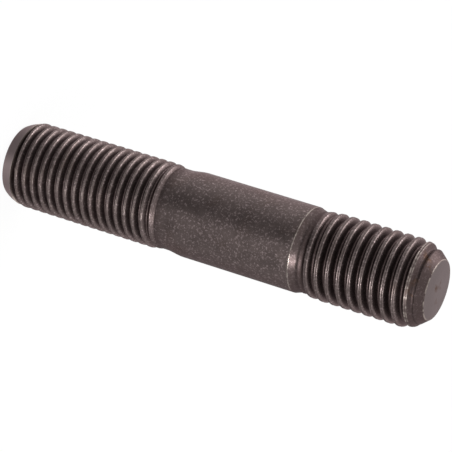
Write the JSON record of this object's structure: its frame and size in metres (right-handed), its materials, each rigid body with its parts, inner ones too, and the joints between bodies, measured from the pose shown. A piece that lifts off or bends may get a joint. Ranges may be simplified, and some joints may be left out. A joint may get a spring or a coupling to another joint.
{
  "type": "double ended stud",
  "caption": "Double ended steel stud, 3/4 in across and 4 in long, with a fine thread on one end, a coarse thread on the other and a plain shank between",
  "frame": {"origin": "centre of the flat end of the fine thread, on which the stud stands", "axes": "+Z along the stud's axis from the fine thread to the coarse thread; the stud is round about it, apart from the helix"},
  "size_m": [0.019, 0.019, 0.1016],
  "materials": {
    "black_steel": "black oxide over rolled steel, dark brown grey, worn bright on its edges"
  },
  "bodies": {
    "root": {"stud": "black_steel"}
  },
  "joints": []
}
